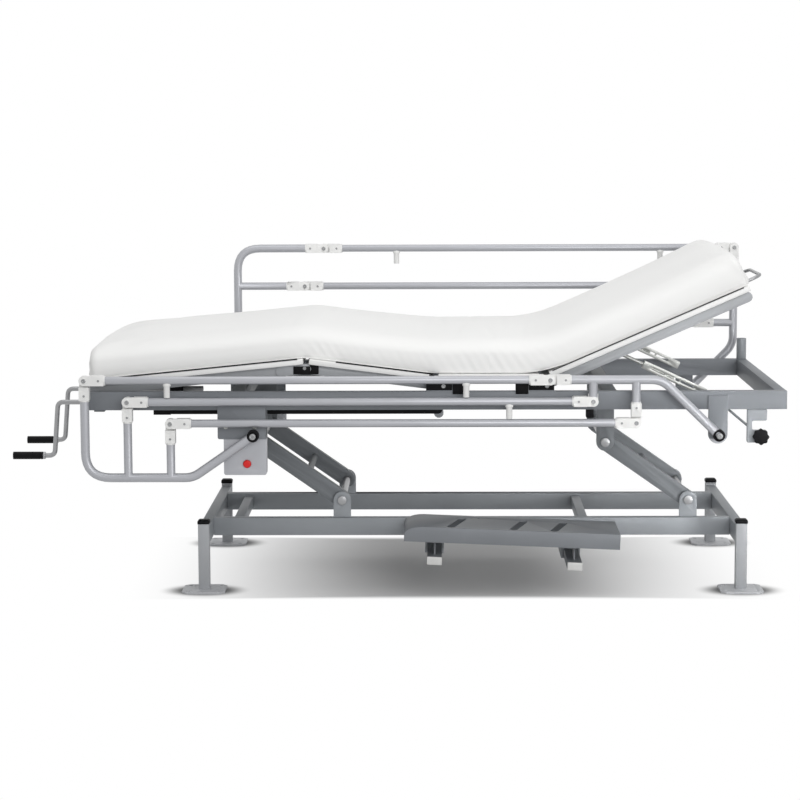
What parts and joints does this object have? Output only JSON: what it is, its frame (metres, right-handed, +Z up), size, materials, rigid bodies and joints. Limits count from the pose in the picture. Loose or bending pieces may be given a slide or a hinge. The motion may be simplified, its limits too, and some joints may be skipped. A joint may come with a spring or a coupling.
{
  "type": "cranked hospital bed",
  "caption": "Hospital bed on fixed legs with a parallel-arm lift, hinged back and knee sections, folding side rails, hand cranks and a pull-out step.",
  "frame": {"origin": "On the floor, under the middle of the bed's box, crank grips included.", "axes": "+X runs from the foot end to the head end, -Y is the side with the step, +Z is up."},
  "size_m": [2.202, 1.0012, 0.9382],
  "materials": {
    "silver_paint": "silver grey powder coat with a fine metallic grain",
    "dark_paint": "grey powder coat",
    "zinc_plate": "bright zinc plate",
    "bright_steel": "bare turned steel",
    "black_plastic": "black moulded plastic",
    "red_plastic": "red moulded plastic",
    "white_panel": "white laminate sheet",
    "mattress_cover": "white wipe-clean coated fabric"
  },
  "bodies": {
    "base": {"leg_foot_near": "silver_paint", "leg_foot_far": "silver_paint", "leg_head_near": "silver_paint", "leg_head_far": "silver_paint", "base_end_tube_foot": "silver_paint", "base_end_tube_head": "silver_paint", "base_rail_near": "silver_paint", "base_rail_far": "silver_paint", "base_cross_bar_foot": "silver_paint", "base_cross_bar_head": "silver_paint", "lower_shaft_foot": "bright_steel", "lower_shaft_head": "bright_steel"},
    "step": {"step_tray": "silver_paint"},
    "foot_arm": {"foot_lift_arm": "silver_paint"},
    "head_arm": {"head_lift_arm": "silver_paint"},
    "bed_frame": {"frame_rail_near": "silver_paint", "frame_rail_far": "silver_paint", "frame_head_tube": "silver_paint", "frame_foot_tube": "dark_paint", "frame_cross_bar_foot": "dark_paint", "frame_cross_bar_head": "dark_paint", "upper_shaft_foot": "bright_steel", "upper_shaft_head": "bright_steel", "seat_panel": "white_panel", "seat_mattress": "mattress_cover", "pole_socket": "silver_paint", "clamp_bracket": "silver_paint"},
    "clamp_screw": {"clamp_screw": "black_plastic"},
    "thigh": {"thigh_frame": "silver_paint", "thigh_panel": "white_panel", "thigh_mattress": "mattress_cover"},
    "foot": {"foot_frame": "silver_paint", "foot_panel": "white_panel", "foot_mattress": "mattress_cover"},
    "back": {"back_frame": "silver_paint", "back_panel": "white_panel", "back_handle": "silver_paint", "back_mattress": "mattress_cover"},
    "knee_rod": {"knee_rod": "dark_paint"},
    "lift_rod": {"lift_rod": "dark_paint"},
    "knee_crank": {"knee_crank": "bright_steel"},
    "knee_grip": {"knee_crank_grip": "black_plastic"},
    "lift_crank": {"lift_crank": "bright_steel"},
    "lift_grip": {"lift_crank_grip": "black_plastic"},
    "stay_rod_near": {"stay_rod_near": "zinc_plate"},
    "stay_channel_near": {"stay_channel_near": "zinc_plate"},
    "stay_rod_far": {"stay_rod_far": "zinc_plate"},
    "stay_channel_far": {"stay_channel_far": "zinc_plate"},
    "rail_foot_frame_near": {"rail_foot_frame_near": "silver_paint"},
    "rail_head_frame_near": {"rail_head_frame_near": "silver_paint"},
    "rail_top_bar_near": {"rail_top_bar_near": "silver_paint"},
    "rail_middle_bar_near": {"rail_middle_bar_near": "silver_paint"},
    "rail_bottom_bar_near": {"rail_bottom_bar_near": "silver_paint"},
    "release_button_near": {"release_button_near": "red_plastic"},
    "rail_foot_frame_far": {"rail_foot_frame_far": "silver_paint"},
    "rail_head_frame_far": {"rail_head_frame_far": "silver_paint"},
    "rail_top_bar_far": {"rail_top_bar_far": "silver_paint"},
    "rail_middle_bar_far": {"rail_middle_bar_far": "silver_paint"},
    "rail_bottom_bar_far": {"rail_bottom_bar_far": "silver_paint"},
    "release_button_far": {"release_button_far": "red_plastic"}
  },
  "joints": [
    {"name": "lift", "type": "hinge", "parent": "base", "child": "foot_arm", "pos_m": [-0.134, 0, 0.231], "axis": [0, 1, 0], "range_deg": [-25, 35]},
    {"name": "lift_frame", "type": "hinge", "parent": "foot_arm", "child": "bed_frame", "pos_m": [-0.37196, 0, 0.39762], "axis": [0, 1, 0], "range_deg": [-35, 25]},
    {"name": "lift_head", "type": "hinge", "parent": "base", "child": "head_arm", "pos_m": [0.856, 0, 0.231], "axis": [0, 1, 0], "range_deg": [-25, 35]},
    {"name": "lift_rod_slide", "type": "slide", "parent": "bed_frame", "child": "lift_rod", "axis": [1, 0, 0], "range_m": [-0.033, 0.046]},
    {"name": "lift_crank_turn", "type": "hinge", "parent": "bed_frame", "child": "lift_crank", "pos_m": [-0.845, 0.17, 0.51], "axis": [1, 0, 0], "range_deg": [-1172, 1640]},
    {"name": "thigh_raise", "type": "hinge", "parent": "bed_frame", "child": "thigh", "pos_m": [0.128, 0, 0.5855], "axis": [0, 1, 0], "range_deg": [-7.2, 22.8]},
    {"name": "foot_bend", "type": "hinge", "parent": "thigh", "child": "foot", "pos_m": [-0.2242, 0, 0.62999], "axis": [0, 1, 0], "range_deg": [-36.1, 11.4]},
    {"name": "knee_rod_slide", "type": "slide", "parent": "bed_frame", "child": "knee_rod", "axis": [1, 0, 0], "range_m": [-0.0405, 0.013]},
    {"name": "knee_crank_turn", "type": "hinge", "parent": "bed_frame", "child": "knee_crank", "pos_m": [-0.845, -0.17, 0.51], "axis": [1, 0, 0], "range_deg": [-456, 1441]},
    {"name": "knee_grip_turn", "type": "hinge", "parent": "knee_crank", "child": "knee_grip", "pos_m": [-1.05, -0.17, 0.355], "axis": [1, 0, 0], "continuous": true},
    {"name": "lift_grip_turn", "type": "hinge", "parent": "lift_crank", "child": "lift_grip", "pos_m": [-1.05, 0.17, 0.355], "axis": [1, 0, 0], "continuous": true},
    {"name": "back_raise", "type": "hinge", "parent": "bed_frame", "child": "back", "pos_m": [0.441, 0, 0.5855], "axis": [0, -1, 0], "range_deg": [-23.5, 26.5]},
    {"name": "stay_swing_near", "type": "hinge", "parent": "back", "child": "stay_rod_near", "pos_m": [0.63817, -0.371, 0.67123], "axis": [0, 1, 0], "range_deg": [-34.3, 38.6]},
    {"name": "stay_slide_near", "type": "slide", "parent": "stay_rod_near", "child": "stay_channel_near", "axis": [0.9066, 0, -0.422], "range_m": [-0.06, 0.0675]},
    {"name": "stay_swing_far", "type": "hinge", "parent": "back", "child": "stay_rod_far", "pos_m": [0.63817, 0.371, 0.67123], "axis": [0, 1, 0], "range_deg": [-34.3, 38.6]},
    {"name": "stay_slide_far", "type": "slide", "parent": "stay_rod_far", "child": "stay_channel_far", "axis": [0.9066, 0, -0.422], "range_m": [-0.06, 0.0675]},
    {"name": "rail_fold_near", "type": "hinge", "parent": "bed_frame", "child": "rail_foot_frame_near", "pos_m": [-0.368, -0.482, 0.452], "axis": [0, 1, 0], "range_deg": [0, 90]},
    {"name": "rail_head_near", "type": "hinge", "parent": "bed_frame", "child": "rail_head_frame_near", "pos_m": [0.911, -0.482, 0.452], "axis": [0, 1, 0], "range_deg": [0, 90]},
    {"name": "rail_top_near", "type": "hinge", "parent": "rail_foot_frame_near", "child": "rail_top_bar_near", "pos_m": [-0.8306, -0.482, 0.606], "axis": [0, 1, 0], "range_deg": [-90, 0]},
    {"name": "rail_middle_near", "type": "hinge", "parent": "rail_foot_frame_near", "child": "rail_middle_bar_near", "pos_m": [-0.7128, -0.482, 0.5465], "axis": [0, 1, 0], "range_deg": [-90, 0]},
    {"name": "rail_bottom_near", "type": "hinge", "parent": "rail_foot_frame_near", "child": "rail_bottom_bar_near", "pos_m": [-0.595, -0.482, 0.487], "axis": [0, 1, 0], "range_deg": [-90, 0]},
    {"name": "release_press_near", "type": "slide", "parent": "bed_frame", "child": "release_button_near", "axis": [0, 1, 0], "range_m": [0, 0.004], "stiffness_N_per_m": 400},
    {"name": "rail_fold_far", "type": "hinge", "parent": "bed_frame", "child": "rail_foot_frame_far", "pos_m": [-0.368, 0.482, 0.452], "axis": [0, 1, 0], "range_deg": [-90, 0]},
    {"name": "rail_head_far", "type": "hinge", "parent": "bed_frame", "child": "rail_head_frame_far", "pos_m": [0.911, 0.482, 0.452], "axis": [0, 1, 0], "range_deg": [-90, 0]},
    {"name": "rail_top_far", "type": "hinge", "parent": "rail_foot_frame_far", "child": "rail_top_bar_far", "pos_m": [-0.214, 0.482, 0.9146], "axis": [0, 1, 0], "range_deg": [0, 90]},
    {"name": "rail_middle_far", "type": "hinge", "parent": "rail_foot_frame_far", "child": "rail_middle_bar_far", "pos_m": [-0.2735, 0.482, 0.7968], "axis": [0, 1, 0], "range_deg": [0, 90]},
    {"name": "rail_bottom_far", "type": "hinge", "parent": "rail_foot_frame_far", "child": "rail_bottom_bar_far", "pos_m": [-0.333, 0.482, 0.679], "axis": [0, 1, 0], "range_deg": [0, 90]},
    {"name": "release_press_far", "type": "slide", "parent": "bed_frame", "child": "release_button_far", "axis": [0, -1, 0], "range_m": [0, 0.004], "stiffness_N_per_m": 400},
    {"name": "step_out", "type": "slide", "parent": "base", "child": "step", "axis": [0, -1, 0], "range_m": [0, 0.2]},
    {"name": "clamp_turn", "type": "hinge", "parent": "bed_frame", "child": "clamp_screw", "pos_m": [1.0305, -0.435, 0.4432], "axis": [0, 1, 0], "continuous": true}
  ],
  "couplings": [
    {"joint": "lift_frame", "follows": "lift", "ratio": -1},
    {"joint": "lift_head", "follows": "lift", "ratio": 1},
    {"joint": "lift_rod_slide", "follows": "lift", "m_per_rad": 0.0745},
    {"joint": "lift_crank_turn", "follows": "lift", "ratio": 46.81},
    {"joint": "foot_bend", "follows": "thigh_raise", "ratio": -1.58},
    {"joint": "knee_rod_slide", "follows": "thigh_raise", "m_per_rad": -0.1005},
    {"joint": "knee_crank_turn", "follows": "thigh_raise", "ratio": 63.15},
    {"joint": "stay_swing_near", "follows": "back_raise", "ratio": 1.45},
    {"joint": "stay_slide_near", "follows": "back_raise", "m_per_rad": 0.144},
    {"joint": "stay_swing_far", "follows": "back_raise", "ratio": 1.45},
    {"joint": "stay_slide_far", "follows": "back_raise", "m_per_rad": 0.144},
    {"joint": "rail_head_near", "follows": "rail_fold_near", "ratio": 1},
    {"joint": "rail_top_near", "follows": "rail_fold_near", "ratio": -1},
    {"joint": "rail_middle_near", "follows": "rail_fold_near", "ratio": -1},
    {"joint": "rail_bottom_near", "follows": "rail_fold_near", "ratio": -1},
    {"joint": "rail_head_far", "follows": "rail_fold_far", "ratio": 1},
    {"joint": "rail_top_far", "follows": "rail_fold_far", "ratio": -1},
    {"joint": "rail_middle_far", "follows": "rail_fold_far", "ratio": -1},
    {"joint": "rail_bottom_far", "follows": "rail_fold_far", "ratio": -1}
  ]
}
